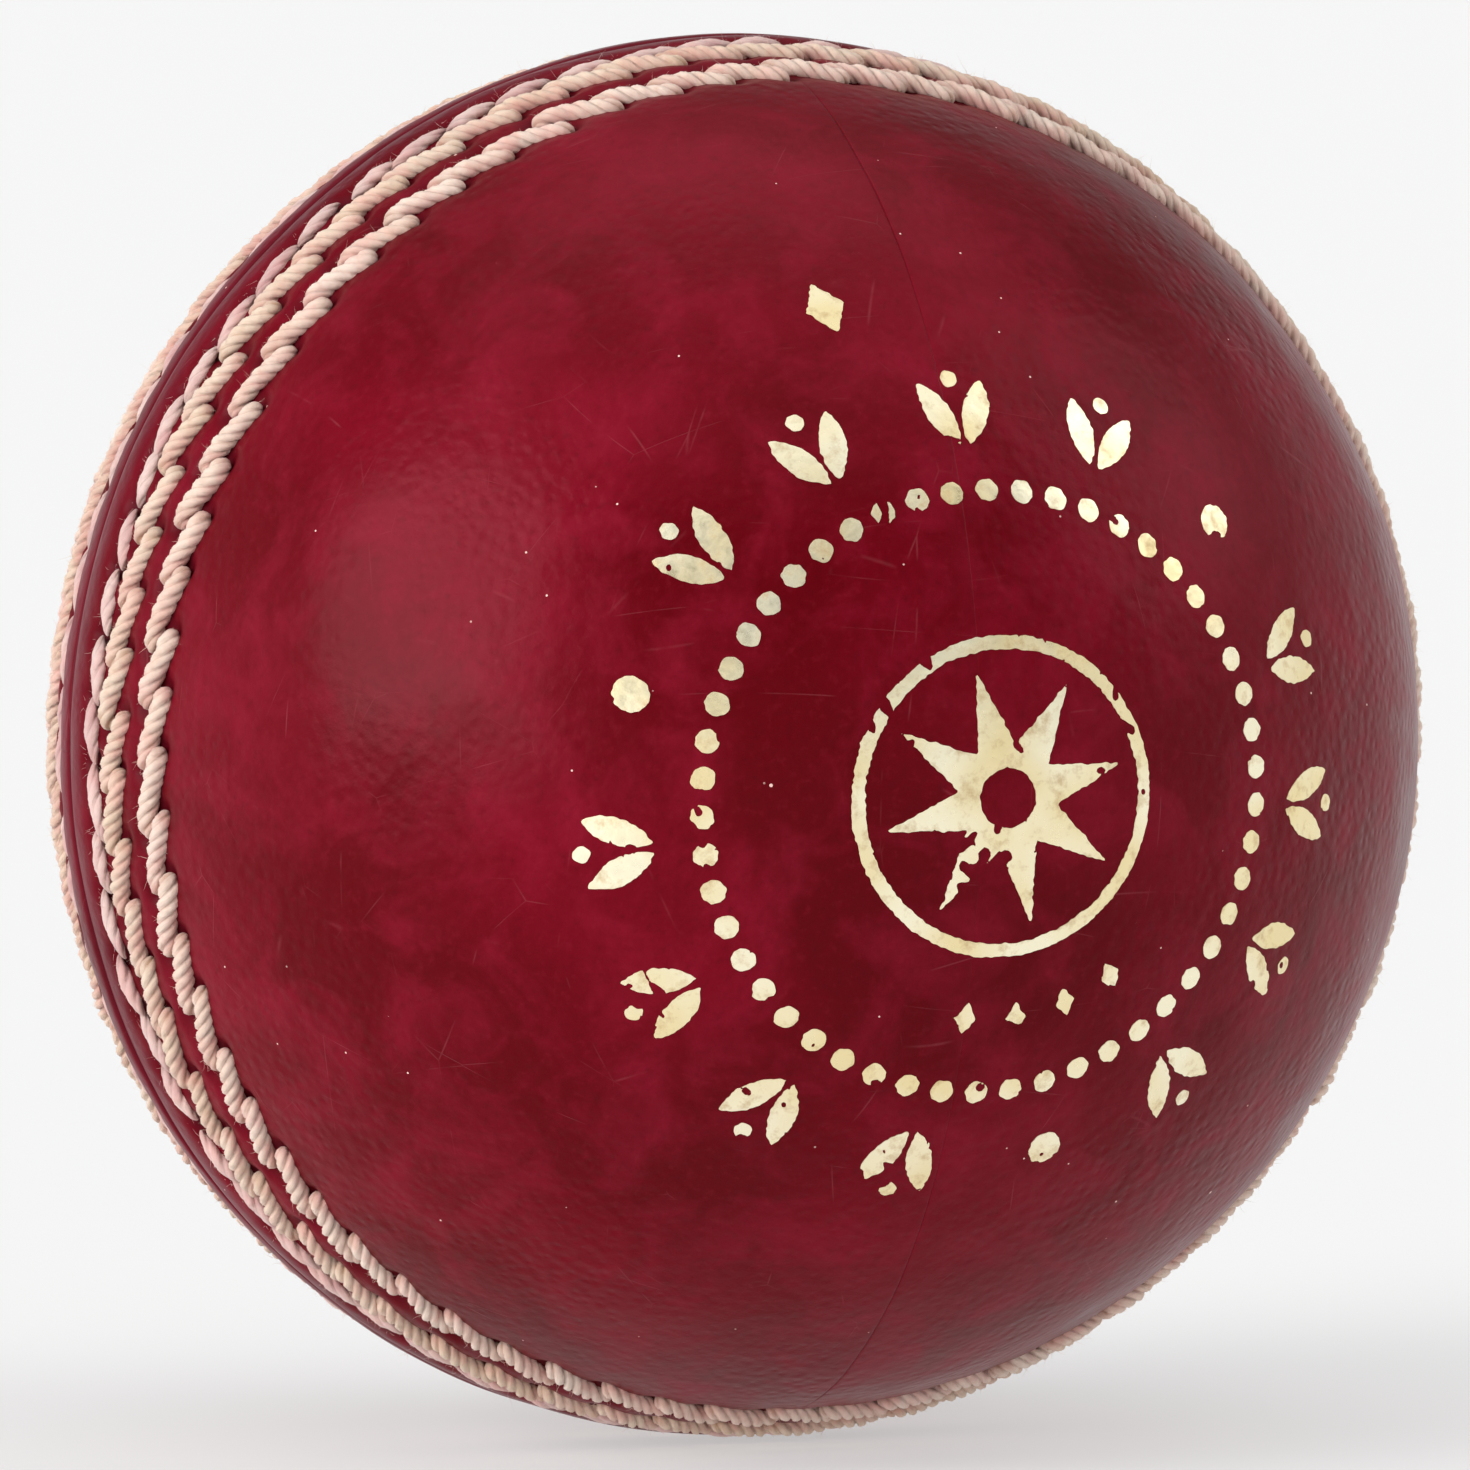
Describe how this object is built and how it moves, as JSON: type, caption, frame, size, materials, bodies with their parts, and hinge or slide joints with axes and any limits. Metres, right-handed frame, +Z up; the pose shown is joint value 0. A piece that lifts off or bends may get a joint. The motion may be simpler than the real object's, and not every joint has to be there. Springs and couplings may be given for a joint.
{
  "type": "cricket ball",
  "caption": "Leather-covered cricket ball with an upright raised seam of twisted thread, a gold foil stamp and a layered cork and wool core.",
  "frame": {"origin": "centre of the ball", "axes": "+Y along the ball's polar axis, away from the stamped face, with the seam upright in the XZ plane; +Z up"},
  "size_m": [0.0727, 0.0712, 0.0728],
  "materials": {
    "cork": "granular, matt",
    "wool": "wound worsted yarn, matt",
    "lining": "unfinished, matt",
    "quarter_thread": "waxed linen",
    "cover": "alum-tanned, dyed dark red, polished",
    "closing_thread": "thread pressed flat, stained pink by the dye",
    "side_thread": "twisted thread, waxed, slightly furry",
    "foil": "hot-stamped foil, satin"
  },
  "bodies": {
    "root": {"cork_core": "cork", "cork_slips_1": "cork", "cork_slips_2": "cork", "cork_slips_3": "cork", "cork_slips_4": "cork", "cork_slips_5": "cork", "wool_winding_1": "wool", "wool_winding_2": "wool", "wool_winding_3": "wool", "wool_winding_4": "wool", "wool_winding_5": "wool", "lining_strip_front": "lining", "lining_strip_back": "lining", "quarter_seam_thread_front": "quarter_thread", "quarter_seam_thread_back": "quarter_thread", "cover_quarter_front_left": "cover", "cover_quarter_front_right": "cover", "cover_quarter_back_upper": "cover", "cover_quarter_back_lower": "cover", "closing_stitches_front": "closing_thread", "closing_stitches_back": "closing_thread", "side_stitches_inner_front": "side_thread", "side_stitches_inner_back": "side_thread", "side_stitches_outer_front": "side_thread", "side_stitches_outer_back": "side_thread", "foil_stamp": "foil"}
  },
  "joints": []
}
